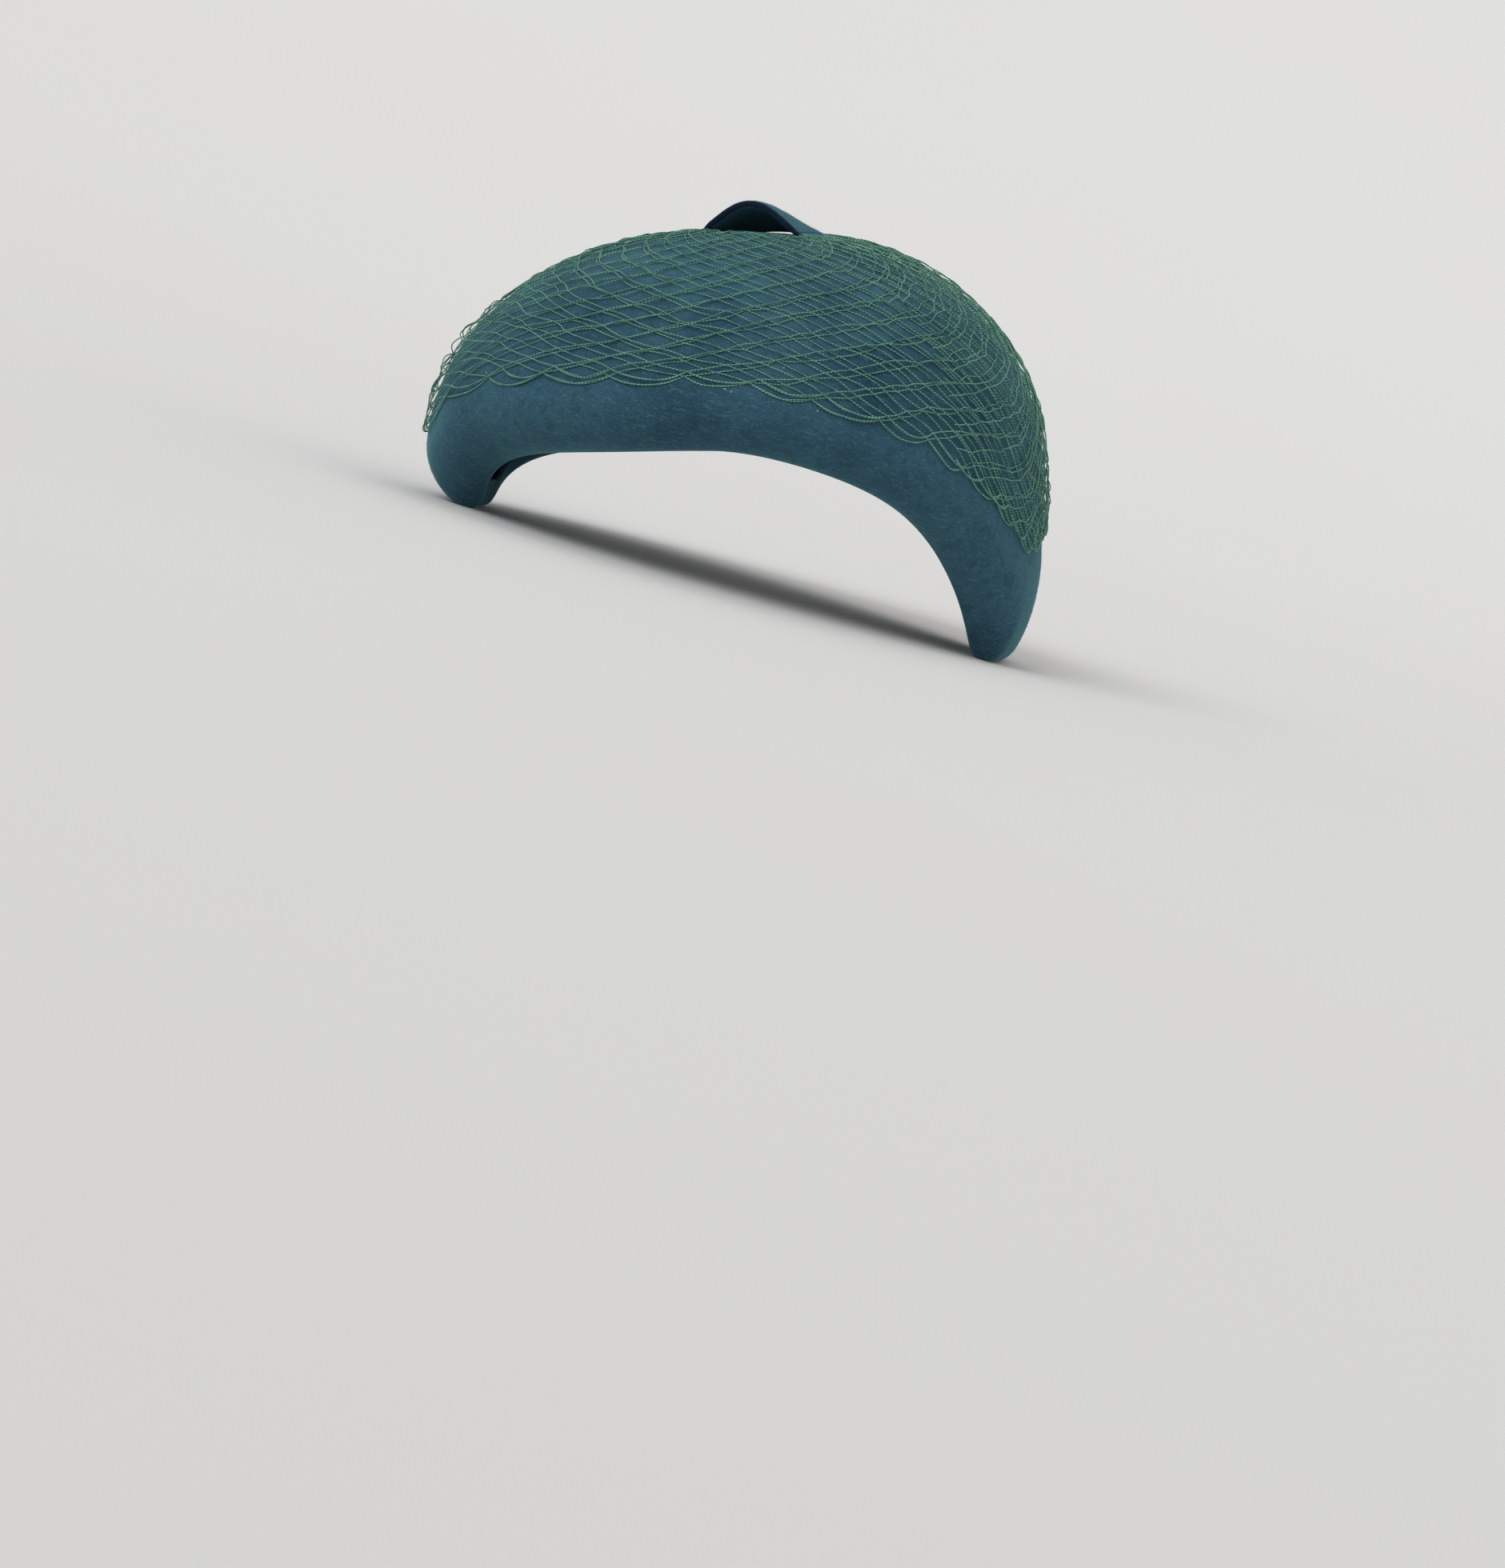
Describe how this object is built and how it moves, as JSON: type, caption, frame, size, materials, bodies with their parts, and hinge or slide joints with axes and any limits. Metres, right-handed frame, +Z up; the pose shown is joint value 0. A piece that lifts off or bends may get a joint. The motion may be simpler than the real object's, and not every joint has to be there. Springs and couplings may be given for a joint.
{
  "type": "felt pillbox hat with veil net",
  "caption": "Domed pillbox hat of teal felt, deeper at the back, with a turned-under edge arched over the ears, a felt loop on the tip and a fine diamond net over the crown.",
  "frame": {"origin": "middle of the hat's box, on the surface that the rim stands on", "axes": "+X towards the wearer's back, the hat's longest side; -Y towards the wearer's left; +Z up, square to the plane that the front and back of the rim stand on, the hat's shortest side"},
  "size_m": [0.234, 0.19, 0.1355],
  "materials": {
    "crown_felt": "velvety wool felt, teal",
    "loop_felt": "velvety wool felt, teal, dark cut edges",
    "veil_thread": "fine twisted veiling thread, lighter green-teal"
  },
  "bodies": {
    "root": {"crown": "crown_felt", "top_loop": "loop_felt", "veil_net": "veil_thread"}
  },
  "joints": []
}
